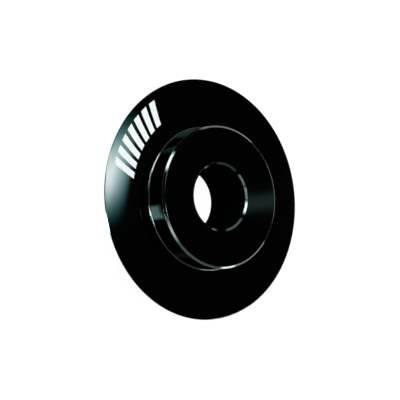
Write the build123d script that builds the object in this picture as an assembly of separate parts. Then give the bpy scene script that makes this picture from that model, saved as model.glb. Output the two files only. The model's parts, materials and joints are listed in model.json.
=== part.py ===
from build123d import *
import os

# Driving dimensions of the wheel, in millimetres
wheel_diameter = 19.0
hub_diameter = 11.2
hub_width = 4.6
bore_diameter = 5.1

# Chamfers on the hub's two ends: 45 degrees outside, and flatter than that at the bore's mouth
hub_edge_chamfer = 0.15
bore_chamfer_out = 0.17
bore_chamfer_down = 0.12

# The blade, which is thickest where it meets the hub
blade_root_thickness = 0.9
blade_root_fillet = 0.2
# How far each blade face bulges out of a straight cone
blade_crown = 0.03

# The short steeper bevel that ends in the cutting edge
edge_bevel_length = 0.06
edge_bevel_thickness = 0.07
edge_land = 0.03

# Radii and heights that follow from them, with the lower hub face at height zero
wheel_radius = wheel_diameter / 2
hub_radius = hub_diameter / 2
bore_radius = bore_diameter / 2
mid_height = hub_width / 2
bevel_radius = wheel_radius - edge_bevel_length


def bore_side():
    """Points up the bore's wall and over its chamfer, from the middle plane."""
    return [
        (bore_radius, mid_height),
        (bore_radius, hub_width - bore_chamfer_down),
        (bore_radius + bore_chamfer_out, hub_width),
    ]


def hub_side():
    """Points across the hub's end face, over its chamfer and down its wall to the blade."""
    return [
        (hub_radius - hub_edge_chamfer, hub_width),
        (hub_radius, hub_width - hub_edge_chamfer),
        (hub_radius, mid_height + blade_root_thickness / 2),
    ]


def edge_side():
    """Points down the short bevel and across half of the cutting edge's flat land."""
    return [
        (bevel_radius, mid_height + edge_bevel_thickness / 2),
        (wheel_radius, mid_height + edge_land / 2),
        (wheel_radius, mid_height),
    ]


def half_section():
    """The upper half of the wheel's section, with radius along X and height along Z."""
    inner = bore_side() + hub_side()
    outer = edge_side()
    with BuildSketch(Plane.XZ) as section:
        with BuildLine():
            Polyline(*inner)
            SagittaArc(inner[-1], outer[0], blade_crown)
            Polyline(*outer)
            Line(outer[-1], inner[0])
        make_face()
        root = section.vertices().sort_by_distance(inner[-1])[0]
        fillet(root, blade_root_fillet)
    return section.sketch


def cutter_wheel():
    """The whole wheel: the half section and its mirror image, turned about the bore's axis."""
    upper = half_section()
    lower = mirror(upper, about=Plane.XY.offset(mid_height))
    return revolve(upper + lower, Axis.Z)


os.makedirs("parts", exist_ok=True)
export_step(cutter_wheel(), "parts/cutter_wheel.step")
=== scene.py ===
import json
import math

import bpy
from mathutils import Matrix, Vector


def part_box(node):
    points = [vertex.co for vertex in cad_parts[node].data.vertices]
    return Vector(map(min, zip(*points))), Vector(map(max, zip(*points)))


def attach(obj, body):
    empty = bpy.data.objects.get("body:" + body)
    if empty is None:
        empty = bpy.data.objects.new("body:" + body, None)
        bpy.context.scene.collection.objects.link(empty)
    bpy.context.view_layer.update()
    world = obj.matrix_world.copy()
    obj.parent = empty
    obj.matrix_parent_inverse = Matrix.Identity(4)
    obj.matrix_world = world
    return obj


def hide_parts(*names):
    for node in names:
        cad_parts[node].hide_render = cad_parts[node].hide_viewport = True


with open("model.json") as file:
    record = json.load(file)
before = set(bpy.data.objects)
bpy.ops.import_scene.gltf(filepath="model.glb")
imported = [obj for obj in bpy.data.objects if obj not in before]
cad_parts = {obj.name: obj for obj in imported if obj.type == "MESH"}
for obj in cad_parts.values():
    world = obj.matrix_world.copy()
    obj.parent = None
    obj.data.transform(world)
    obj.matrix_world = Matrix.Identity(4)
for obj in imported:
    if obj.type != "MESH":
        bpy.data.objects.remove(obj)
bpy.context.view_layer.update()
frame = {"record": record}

MM = 0.001
BODY = "root"
NODE = "cutter_wheel"

# Sizes read from the frame
node_low, node_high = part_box(NODE)
bore_mount = next(m for m in frame["record"]["mounts"] if m["name"] == "bore")
WHEEL_RADIUS = min(node_high.x - node_low.x, node_high.y - node_low.y) / 2
HUB_WIDTH = node_high.z - node_low.z
MID_HEIGHT = HUB_WIDTH / 2
BORE_RADIUS = bore_mount["dims"]["r_mm"] * MM
BORE_CHAMFER_DOWN = (HUB_WIDTH - bore_mount["dims"]["length_mm"] * MM) / 2

# The rest of the wheel's section
BORE_CHAMFER_OUT = 0.17 * MM
HUB_RADIUS = 5.6 * MM
HUB_CHAMFER = 0.15 * MM
BLADE_ROOT_THICKNESS = 0.9 * MM
# Finer than the solid's fillet, so that its highlights are thin
ROOT_FILLET = 0.1 * MM
BLADE_CROWN = 0.03 * MM
BEVEL_LENGTH = 0.06 * MM
BEVEL_THICKNESS = 0.07 * MM
EDGE_LAND = 0.03 * MM
# Radii of the fine rounding that polishing leaves on the corners
CORNER_ROUND = 0.02 * MM
EDGE_ROUND = 0.01 * MM
# How bare wear has rubbed the corners of the hub's ends and the cutting edge, from 0 to 1
CORNER_WEAR = 0.3
EDGE_WEAR = 0.2
# How far past a rounding the faces beside it are plain again
PLAIN_AGAIN = 0.008 * MM

# How finely the turned surface is divided
TURN_STEPS = 512
BLADE_STEPS = 14
FILLET_STEPS = 10
CORNER_STEPS = 5
LONGEST_STEP = 0.4 * MM

# The white printed band on the blade: slanted bars, all alike, side by side around the wheel
BAR_COUNT = 7
BAND_START = math.radians(205.2)
BAND_END = math.radians(250.3)
BAND_INNER = 0.742 * WHEEL_RADIUS
BAND_OUTER = 0.935 * WHEEL_RADIUS
BAR_SHARE = 0.62
BAR_SLANT = math.radians(-5)
INK_HEIGHT = 0.012 * MM
INK_DEPTH = 0.008 * MM
BAR_STEPS_OUT = 12
BAR_STEPS_ROUND = 6

# The camera, at the photograph's angle: the wheel lies flat, and the twist lays its axis to the right
PHOTO_SIZE = 400
FOCAL_PX = 2386.0
SENSOR_WIDTH = 36.0
CAMERA_ELEVATION = math.radians(51.833)
CAMERA_TWIST = math.radians(82.792)
CAMERA_DISTANCE = 19.768 * WHEEL_RADIUS
CLIP_RANGE = (0.01, 20.0)
# The pixel of the photograph at which the wheel's centre shows
CENTRE_PX = (202.55, 199.2)

BARE_STEEL = (0.34, 0.36, 0.36, 1)
# Each finish runs between two colours
BLACKENED = ((0.088, 0.100, 0.099, 1), (0.104, 0.118, 0.117, 1))
# The bore's two colours are painted shade: almost black, darker than its reamed and blackened steel would
# be
BORE_PAINTED_SHADE = ((0.0004, 0.0006, 0.0006, 1), (0.0010, 0.0014, 0.0014, 1))
INK_WHITE = ((0.90, 0.87, 0.87, 1), (0.94, 0.91, 0.91, 1))

# The floor lights the wheel as a plain one does, and is seen and mirrored as white with a soft shadow
FLOOR_HALF = 3.0
FLOOR_PLAIN = (0.8, 0.8, 0.8, 1)
FLOOR_SHADE = (0.15, 0.15, 0.15, 1)
FLOOR_GLOW = 0.93
# The world fades from white at the first height, the sine of an elevation, to dark at the second
WHITE_UP_TO = 0.05
DARK_FROM = 0.12
OVERHEAD = 0.006

# How far the lamps stand from the wheel, and their tints
FAR = 0.4
NEAR = 0.04
WHITE = (1.0, 1.0, 1.0)
PALE = (0.85, 1.0, 0.98)
COOL = (0.5, 1.0, 0.97)
# How fast a lamp loses its red where it fades
FADE_COOLING = 0.37
# Each softbox: the azimuth and elevation of the middle of its two ends, its width in degrees and its
# radiance. Fade is the share of its width and of its length that dims towards each side.
SOFTBOXES = [
    dict(name="key", start=(73.7, 73.3), end=(123.7, 61.1), width=8.5, radiance=7.3,
         fade=(0.43, 0.5), slant=-0.25, power=2),
    dict(name="left_low", start=(-146.5, 1), end=(-147, 14), width=31, radiance=28.0),
    dict(name="left_edge", start=(-150, 24), end=(-151.5, 36), width=27, radiance=8.5, fade=(0.25, 0.1)),
    dict(name="left_mid", start=(-163, 47.5), end=(-111, 57), width=8, radiance=10.0, fade=(0.1, 0.35)),
    dict(name="left_top", start=(168, 71), end=(-160, 77), width=6, radiance=12.0),
    dict(name="left_high", start=(153, 67), end=(166, 75), width=6, radiance=13.0),
    dict(name="top", start=(-45, 80), end=(-84, 73), width=7, radiance=52.0),
    dict(name="front", start=(-92, 45.5), end=(-66, 44.5), width=9, radiance=9.0,
         fade=(0.1, 0.25), tint=(0.66, 1.0, 0.96)),
    dict(name="front_low", start=(-74, 1), end=(-73.4, 14), width=22, radiance=28.0),
    dict(name="front_dim", start=(-76, 36), end=(-26, 27), width=8, radiance=3.5, fade=(0.2, 0.5)),
    dict(name="right_high", start=(41, 35), end=(59, 20), width=7, radiance=6.0),
    dict(name="right_low", start=(14, 1.9), end=(50, 1.9), width=9.6, radiance=6.5, distance=NEAR),
    dict(name="back", start=(64, 25), end=(114, 25), width=11, radiance=3.0),
    dict(name="back_low", start=(118, 3.5), end=(160, 3.5), width=7, radiance=0.6, fade=(0.3, 0.4)),
    dict(name="back_dim", start=(122, 47), end=(156, 47), width=10, radiance=0.5, tint=COOL),
    dict(name="west_dim", start=(140, 16), end=(-168, 45.5), width=8, radiance=0.8, tint=PALE),
    dict(name="east_low", start=(-36, 28), end=(30, 4), width=8, radiance=0.6, tint=PALE),
    dict(name="east_dim", start=(-13, 46), end=(42, 15), width=8, radiance=0.28, tint=PALE),
    dict(name="north_dim", start=(-116, 56.5), end=(-56, 54), width=4, radiance=1.8, tint=PALE),
    dict(name="north_low", start=(-66, 56), end=(-18, 47), width=4, radiance=1.2, tint=PALE),
    dict(name="face_band", start=(89.45, 51.2), end=(89.45, 49.0), width=0.7, radiance=0.19,
         fade=(0.3, 0.3), tint=COOL),
]

# Blender's noise keeps between these two values almost everywhere
NOISE_LOW = 0.3
NOISE_HIGH = 0.7


def blade_point(t):
    """A point of the blade's slightly bulging upper face, from the hub at 0 to the short bevel at 1."""
    inner = Vector((HUB_RADIUS, MID_HEIGHT + BLADE_ROOT_THICKNESS / 2))
    outer = Vector((WHEEL_RADIUS - BEVEL_LENGTH, MID_HEIGHT + BEVEL_THICKNESS / 2))
    along = (outer - inner).normalized()
    return inner.lerp(outer, t) + Vector((-along.y, along.x)) * BLADE_CROWN * 4 * t * (1 - t)


def half_corners():
    """Corners of the upper half section, from the bore to the cutting edge: place, rounding and wear."""
    top = HUB_WIDTH
    corners = [
        (BORE_RADIUS, MID_HEIGHT, 0, 0.0),
        (BORE_RADIUS, top - BORE_CHAMFER_DOWN, CORNER_ROUND, CORNER_WEAR),
        (BORE_RADIUS + BORE_CHAMFER_OUT, top, CORNER_ROUND, CORNER_WEAR),
        (HUB_RADIUS - HUB_CHAMFER, top, CORNER_ROUND, CORNER_WEAR),
        (HUB_RADIUS, top - HUB_CHAMFER, CORNER_ROUND, 0.0),
        (*blade_point(0), ROOT_FILLET, 0.0),
    ]
    corners += [(*blade_point(i / BLADE_STEPS), 0, 0.0) for i in range(1, BLADE_STEPS)]
    corners.append((*blade_point(1), CORNER_ROUND, 0.0))
    corners.append((WHEEL_RADIUS, MID_HEIGHT + EDGE_LAND / 2, EDGE_ROUND, EDGE_WEAR))
    corners.append((WHEEL_RADIUS, MID_HEIGHT, 0, EDGE_WEAR))
    return corners


def rounded_corner(before, corner, after, radius):
    """Points along the arc that rounds one corner."""
    to_before = (before - corner).normalized()
    to_after = (after - corner).normalized()
    half = to_before.angle(to_after) / 2
    reach = radius / math.tan(half)
    centre = corner + (to_before + to_after).normalized() * (radius / math.sin(half))
    start = corner + to_before * reach - centre
    end = corner + to_after * reach - centre
    sweep = math.atan2(start.x * end.y - start.y * end.x, start.dot(end))
    steps = FILLET_STEPS if radius == ROOT_FILLET else CORNER_STEPS
    return [centre + Matrix.Rotation(sweep * i / steps, 2) @ start for i in range(steps + 1)]


def half_outline():
    """The upper half of the section as a line of (place, wear), with its corners rounded."""
    corners = half_corners()
    line = []
    for i, (x, y, radius, wear) in enumerate(corners):
        here = Vector((x, y))
        if radius == 0:
            line.append((here, wear))
            continue
        before = Vector(corners[i - 1][:2])
        after = Vector(corners[i + 1][:2])
        arc = rounded_corner(before, here, after, radius)
        if radius != EDGE_ROUND:
            line.append((arc[0] + (before - here).normalized() * PLAIN_AGAIN, 0.0))
        line += [(p, wear) for p in arc]
        if radius != EDGE_ROUND:
            line.append((arc[-1] + (after - here).normalized() * PLAIN_AGAIN, 0.0))
    return line


def divided(line):
    """The same line with long straight runs cut into steps."""
    fine = [line[0]]
    for (a, wear_a), (b, wear_b) in zip(line, line[1:]):
        count = max(1, math.ceil((b - a).length / LONGEST_STEP))
        for i in range(1, count + 1):
            t = i / count
            fine.append((a.lerp(b, t), wear_a * (1 - t) + wear_b * t))
    return fine


def whole_outline():
    """The closed outline: the upper half from bore to edge, then its mirror image back to the bore."""
    upper = divided(half_outline())
    lower = [(Vector((p.x, HUB_WIDTH - p.y)), wear) for p, wear in reversed(upper)]
    return upper + lower[1:-1]


def outline_normals(points):
    """The outward direction at each point: its two neighbouring runs, weighted by their length."""
    normals = []
    for i, here in enumerate(points):
        before = points[i - 1]
        after = points[(i + 1) % len(points)]
        along = (here - before).normalized() * (after - here).length
        along += (after - here).normalized() * (here - before).length
        normals.append(Vector((-along.y, along.x)).normalized())
    return normals


def new_piece(name, verts, faces):
    """A mesh object in the scene."""
    mesh = bpy.data.meshes.new(name)
    mesh.from_pydata(verts, [], faces)
    mesh.validate()
    mesh.shade_smooth()
    piece = bpy.data.objects.new(name, mesh)
    bpy.context.scene.collection.objects.link(piece)
    return piece


def turned_wheel():
    """The wheel as one closed mesh, turned about the bore's axis, with its wear, its finish and the bore's
    painted shade marked.
    """
    outline = whole_outline()
    points = [p for p, wear in outline]
    normals = outline_normals(points)
    ring = len(points)
    verts, directions, worn, faces, finishes_and_bore_shade = [], [], [], [], []
    for k in range(TURN_STEPS):
        angle = 2 * math.pi * k / TURN_STEPS
        c, s = math.cos(angle), math.sin(angle)
        for (p, wear), n in zip(outline, normals):
            verts.append((p.x * c, p.x * s, p.y))
            directions.append((n.x * c, n.x * s, n.y))
            worn.append(wear)
        here = k * ring
        there = (k + 1) % TURN_STEPS * ring
        for i in range(ring):
            j = (i + 1) % ring
            faces.append((here + i, here + j, there + j, there + i))
            # The bore's faces take the second material, which is painted shade as well as the bore's own
            # finish
            in_bore = max(points[i].x, points[j].x) < BORE_RADIUS + CORNER_ROUND / 2
            finishes_and_bore_shade.append(1 if in_bore else 0)
    wheel = new_piece("turned_wheel", verts, faces)
    mesh = wheel.data
    mesh.normals_split_custom_set_from_vertices(directions)
    mesh.attributes.new("wear", "FLOAT", "POINT").data.foreach_set("value", worn)
    mesh.polygons.foreach_set("material_index", finishes_and_bore_shade)
    mesh.materials.append(blackened_steel())
    mesh.materials.append(bore_steel_painted_shade())
    return wheel


def bar_point(u, v, bar, lift):
    """A point of one printed bar: u runs across it, v outwards, and lift is the height over the blade."""
    pitch = (BAND_END - BAND_START) / BAR_COUNT
    angle = BAND_START + pitch * (bar + 0.5 + BAR_SHARE * (u - 0.5)) + BAR_SLANT * (v - 0.5)
    radius = BAND_INNER + (BAND_OUTER - BAND_INNER) * v
    t = (radius - HUB_RADIUS) / (WHEEL_RADIUS - BEVEL_LENGTH - HUB_RADIUS)
    return (radius * math.cos(angle), radius * math.sin(angle), blade_point(t).y + lift)


def printed_bars():
    """The printed band: one thin closed layer of ink for each bar."""
    verts, faces = [], []
    across, out = BAR_STEPS_ROUND + 1, BAR_STEPS_OUT + 1
    for bar in range(BAR_COUNT):
        first = len(verts)
        for lift in (INK_HEIGHT, -INK_DEPTH):
            for i in range(out):
                for j in range(across):
                    verts.append(bar_point(j / BAR_STEPS_ROUND, i / BAR_STEPS_OUT, bar, lift))
        under = first + out * across
        for i in range(out - 1):
            for j in range(across - 1):
                a, b = i * across + j, (i + 1) * across + j
                faces.append((first + a, first + b, first + b + 1, first + a + 1))
                faces.append((under + a, under + a + 1, under + b + 1, under + b))
        rim = [i * across for i in range(out)]
        rim += [(out - 1) * across + j for j in range(1, across)]
        rim += [i * across + across - 1 for i in range(out - 2, -1, -1)]
        rim += list(range(across - 2, 0, -1))
        for a, b in zip(rim, rim[1:] + rim[:1]):
            faces.append((first + b, first + a, under + a, under + b))
    bars = new_piece("printed_bars", verts, faces)
    bars.data.shade_flat()
    bars.data.materials.append(white_ink())
    return bars


def add(tree, kind, inputs=None, **settings):
    """A shader node with its settings. Each input is a value or another node's output."""
    made = tree.nodes.new("ShaderNode" + kind)
    for name, value in settings.items():
        setattr(made, name, value)
    for name, value in (inputs or {}).items():
        if isinstance(value, bpy.types.NodeSocket):
            tree.links.new(value, made.inputs[name])
        else:
            made.inputs[name].default_value = value
    return made


def new_material(name):
    """A material with one Principled shader, and the parts of it that are needed here."""
    material = bpy.data.materials.new(name)
    material.use_nodes = True
    tree = material.node_tree
    return material, tree, tree.nodes["Principled BSDF"]


def spread(tree, field, low, high):
    """A noise field stretched out to run from low to high."""
    limits = {"Value": field, "From Min": NOISE_LOW, "From Max": NOISE_HIGH, "To Min": low, "To Max": high}
    return add(tree, "MapRange", limits).outputs[0]


def between(tree, share, first, second):
    """A colour that runs from the first to the second. Each is a value or another node's output."""
    return add(tree, "Mix", {0: share, 6: first, 7: second}, data_type="RGBA").outputs[2]


def place_in_mm(tree):
    """The place on the object, in millimetres."""
    where = add(tree, "TexCoord").outputs["Object"]
    return add(tree, "VectorMath", {0: where, 1: (1 / MM, 1 / MM, 1 / MM)}, operation="MULTIPLY").outputs[0]


def tool_marks(tree, place, spacing, around, detail):
    """Noise that follows the lathe: it changes every spacing along the section, slowly around the axis."""
    flat = add(tree, "VectorMath", {0: place, 1: (1, 1, 0)}, operation="MULTIPLY").outputs[0]
    radius = add(tree, "VectorMath", {0: flat}, operation="LENGTH").outputs["Value"]
    facing = add(tree, "VectorMath", {0: flat}, operation="NORMALIZE").outputs[0]
    facing = add(tree, "VectorMath", {0: facing, "Scale": around}, operation="SCALE").outputs[0]
    facing = add(tree, "SeparateXYZ", {0: facing}).outputs
    height = add(tree, "SeparateXYZ", {0: place}).outputs["Z"]
    section = add(tree, "CombineXYZ", {"X": radius, "Y": height}).outputs[0]
    section = add(tree, "VectorMath", {0: section, "Scale": 1 / spacing}, operation="SCALE").outputs[0]
    spot = add(tree, "CombineXYZ", {"Z": facing["X"]}).outputs[0]
    spot = add(tree, "VectorMath", {0: section, 1: spot}, operation="ADD").outputs[0]
    noise = {"Vector": spot, "W": facing["Y"], "Scale": 1.0, "Detail": detail}
    return add(tree, "TexNoise", noise, noise_dimensions="4D").outputs[0]


def blackened_steel():
    """Polished, blackened steel with marks of the lathe, faint smears and corners rubbed a little bare."""
    material, tree, shader = new_material("blackened_steel")
    place = place_in_mm(tree)
    fine = tool_marks(tree, place, spacing=0.11, around=2.0, detail=2.0)
    broad = tool_marks(tree, place, spacing=0.6, around=1.5, detail=3.0)
    smears = add(tree, "TexNoise", {"Vector": place, "Scale": 0.45, "Detail": 4.0}).outputs[0]
    grains = add(tree, "TexNoise", {"Vector": place, "Scale": 2.6, "Detail": 3.0}).outputs[0]

    black = between(tree, spread(tree, smears, 0.0, 1.0), *BLACKENED)
    rubbed = add(tree, "Attribute", attribute_name="wear").outputs["Fac"]
    patchy = spread(tree, grains, 0.0, 0.5)
    rubbed = add(tree, "Math", {0: rubbed, 1: patchy}, operation="MULTIPLY").outputs[0]
    colour = between(tree, rubbed, black, BARE_STEEL)
    tree.links.new(colour, shader.inputs["Base Color"])

    rough = add(tree, "Math", {0: spread(tree, smears, 0.03, 0.04), 1: spread(tree, fine, -0.004, 0.006)})
    tree.links.new(rough.outputs[0], shader.inputs["Roughness"])
    shader.inputs["Metallic"].default_value = 1.0

    marks = add(tree, "Bump", {"Height": fine, "Strength": 1.0, "Distance": 0.00008 * MM})
    waves = add(tree, "Bump", {"Height": broad, "Strength": 1.0, "Distance": 0.0006 * MM})
    tree.links.new(marks.outputs[0], waves.inputs["Normal"])
    tree.links.new(waves.outputs[0], shader.inputs["Normal"])
    return material


def bore_steel_painted_shade():
    """The bore's wall, reamed and blackened but not polished, and also painted almost black and set to
    mirror nothing: painted shade where polished steel would mirror the white floor.
    """
    material, tree, shader = new_material("bore_steel_painted_shade")
    place = place_in_mm(tree)
    rings = tool_marks(tree, place, spacing=0.07, around=1.0, detail=2.0)
    # Painted shade: no mirroring and a nearly black colour, where a steel bore would mirror the floor
    shader.inputs["Metallic"].default_value = 0.0
    shader.inputs["Specular IOR Level"].default_value = 0.0
    colour = between(tree, spread(tree, rings, 0.0, 1.0), *BORE_PAINTED_SHADE)
    tree.links.new(colour, shader.inputs["Base Color"])
    tree.links.new(spread(tree, rings, 0.45, 0.6), shader.inputs["Roughness"])
    grooves = add(tree, "Bump", {"Height": rings, "Strength": 1.0, "Distance": 0.0006 * MM})
    tree.links.new(grooves.outputs[0], shader.inputs["Normal"])
    return material


def white_ink():
    """Baked white printing ink: satin, with a faint unevenness."""
    material, tree, shader = new_material("white_ink")
    place = place_in_mm(tree)
    uneven = add(tree, "TexNoise", {"Vector": place, "Scale": 2.2, "Detail": 3.0}).outputs[0]
    grain = add(tree, "TexNoise", {"Vector": place, "Scale": 14.0, "Detail": 2.0}).outputs[0]
    colour = between(tree, spread(tree, uneven, 0.0, 1.0), *INK_WHITE)
    tree.links.new(colour, shader.inputs["Base Color"])
    tree.links.new(spread(tree, grain, 0.38, 0.5), shader.inputs["Roughness"])
    skin = add(tree, "Bump", {"Height": grain, "Strength": 1.0, "Distance": 0.0012 * MM})
    tree.links.new(skin.outputs[0], shader.inputs["Normal"])
    return material


def towards(azimuth, elevation):
    """The direction from the wheel to a place given by its azimuth and elevation in degrees."""
    a, e = math.radians(azimuth), math.radians(elevation)
    return Vector((math.cos(e) * math.cos(a), math.cos(e) * math.sin(a), math.sin(e)))


def fading(tree, place, share, course="LINEAR"):
    """Full in the middle of a lamp and none at its two sides, over the share of it that fades."""
    side = add(tree, "Math", {0: place, 1: 0.5}, operation="SUBTRACT").outputs[0]
    side = add(tree, "Math", {0: side}, operation="ABSOLUTE").outputs[0]
    limits = {"Value": side, "From Min": 0.5 - share, "From Max": 0.5, "To Min": 1.0, "To Max": 0.0}
    return add(tree, "MapRange", limits, interpolation_type=course).outputs[0]


def softbox(name, start, end, width, radiance, fade=(0.2, 0.2), slant=0, power=1, distance=FAR, tint=WHITE):
    """A rectangular lamp that faces the wheel and spans from one direction to another."""
    first, last = towards(*start), towards(*end)
    centre = (first + last).normalized()
    along = (last - first).normalized()
    data = bpy.data.lights.new(name, "AREA")
    data.shape = "RECTANGLE"
    data.size = 2 * distance * math.tan(math.radians(width) / 2)
    data.size_y = 2 * distance * math.tan(first.angle(last) / 2)
    data.energy = radiance * math.pi * data.size * data.size_y
    data.color = tint
    data.use_nodes = True
    tree = data.node_tree
    place = add(tree, "NewGeometry").outputs["Parametric"]
    place = add(tree, "SeparateXYZ", {0: place}).outputs
    lean = add(tree, "Math", {0: place["X"], 1: slant, 2: -slant / 2}, operation="MULTIPLY_ADD").outputs[0]
    lengthwise = add(tree, "Math", {0: place["Y"], 1: lean}).outputs[0]
    lengthwise = fading(tree, lengthwise, fade[1], "SMOOTHSTEP")
    lengthwise = add(tree, "Math", {0: lengthwise, 1: power}, operation="POWER").outputs[0]
    both = {0: fading(tree, place["X"], fade[0]), 1: lengthwise}
    strength = add(tree, "Math", both, operation="MULTIPLY").outputs[0]
    tree.links.new(strength, tree.nodes["Emission"].inputs["Strength"])
    red = add(tree, "Math", {0: strength, 1: FADE_COOLING}, operation="POWER").outputs[0]
    hue = add(tree, "CombineColor", {"Red": red, "Green": 1.0, "Blue": 1.0}).outputs[0]
    tree.links.new(hue, tree.nodes["Emission"].inputs["Color"])
    lamp = bpy.data.objects.new(name, data)
    bpy.context.scene.collection.objects.link(lamp)
    turn = Matrix((along.cross(centre), along, centre)).transposed().to_4x4()
    lamp.matrix_world = Matrix.Translation(Vector((0, 0, MID_HEIGHT)) + centre * distance) @ turn
    lamp.visible_camera = False
    return lamp


def add_floor():
    """A wide white floor that keeps a soft shadow."""
    half = FLOOR_HALF
    corners = [(-half, -half, 0), (half, -half, 0), (half, half, 0), (-half, half, 0)]
    mesh = bpy.data.meshes.new("floor")
    mesh.from_pydata(corners, [], [(0, 1, 2, 3)])
    floor = bpy.data.objects.new("floor", mesh)
    bpy.context.scene.collection.objects.link(floor)
    material = bpy.data.materials.new("white_floor")
    material.use_nodes = True
    tree = material.node_tree
    tree.nodes.clear()
    path = add(tree, "LightPath").outputs
    seen = add(tree, "Math", {0: path["Is Camera Ray"], 1: path["Is Glossy Ray"]}, operation="MAXIMUM")
    seen = add(tree, "Math", {0: seen.outputs[0], 1: path["Is Transmission Ray"]}, operation="MAXIMUM")
    plain = add(tree, "BsdfDiffuse", {"Color": FLOOR_PLAIN})
    shade = add(tree, "BsdfDiffuse", {"Color": FLOOR_SHADE})
    glow = add(tree, "Emission", {"Strength": FLOOR_GLOW})
    white = add(tree, "AddShader", {0: shade.outputs[0], 1: glow.outputs[0]})
    mix = add(tree, "MixShader", {0: seen.outputs[0], 1: plain.outputs[0], 2: white.outputs[0]})
    add(tree, "OutputMaterial", {"Surface": mix.outputs[0]})
    mesh.materials.append(material)
    return floor


def add_world():
    """White near the horizon and almost black overhead, like the dark studio that the wheel mirrors."""
    world = bpy.data.worlds.new("studio")
    bpy.context.scene.world = world
    world.use_nodes = True
    tree = world.node_tree
    tree.nodes.clear()
    height = add(tree, "SeparateXYZ", {0: add(tree, "TexCoord").outputs["Generated"]}).outputs["Z"]
    limits = {
        "Value": height,
        "From Min": WHITE_UP_TO,
        "From Max": DARK_FROM,
        "To Min": 1.0,
        "To Max": OVERHEAD,
    }
    fade = add(tree, "MapRange", limits, interpolation_type="SMOOTHSTEP")
    light = add(tree, "Background", {"Color": (1, 1, 1, 1), "Strength": fade.outputs[0]})
    add(tree, "OutputWorld", {"Surface": light.outputs[0]})


def add_lamps():
    """Softboxes around the wheel: each is mirrored by some of its edges."""
    for settings in SOFTBOXES:
        softbox(**settings)


def add_camera():
    """The photograph's view of the wheel."""
    data = bpy.data.cameras.new("camera")
    data.sensor_width = SENSOR_WIDTH
    data.lens = SENSOR_WIDTH * FOCAL_PX / PHOTO_SIZE
    data.clip_start, data.clip_end = CLIP_RANGE
    camera = bpy.data.objects.new("camera", data)
    bpy.context.scene.collection.objects.link(camera)
    back = Vector((0, -math.cos(CAMERA_ELEVATION), math.sin(CAMERA_ELEVATION)))
    level_right = Vector((1, 0, 0))
    level_up = back.cross(level_right)
    right = level_right * math.cos(CAMERA_TWIST) + level_up * math.sin(CAMERA_TWIST)
    up = back.cross(right)
    px = CAMERA_DISTANCE / FOCAL_PX
    aim = Vector((0, 0, MID_HEIGHT))
    aim -= right * ((CENTRE_PX[0] - PHOTO_SIZE / 2) * px)
    aim -= up * ((PHOTO_SIZE / 2 - CENTRE_PX[1]) * px)
    turn = Matrix((right, up, back)).transposed().to_4x4()
    camera.matrix_world = Matrix.Translation(aim + back * CAMERA_DISTANCE) @ turn
    bpy.context.scene.camera = camera


wheel = turned_wheel()
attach(wheel, BODY)
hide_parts(NODE)

bars = printed_bars()
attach(bars, BODY)

add_floor()
add_world()
add_lamps()
add_camera()
bpy.context.scene.view_settings.view_transform = "Standard"
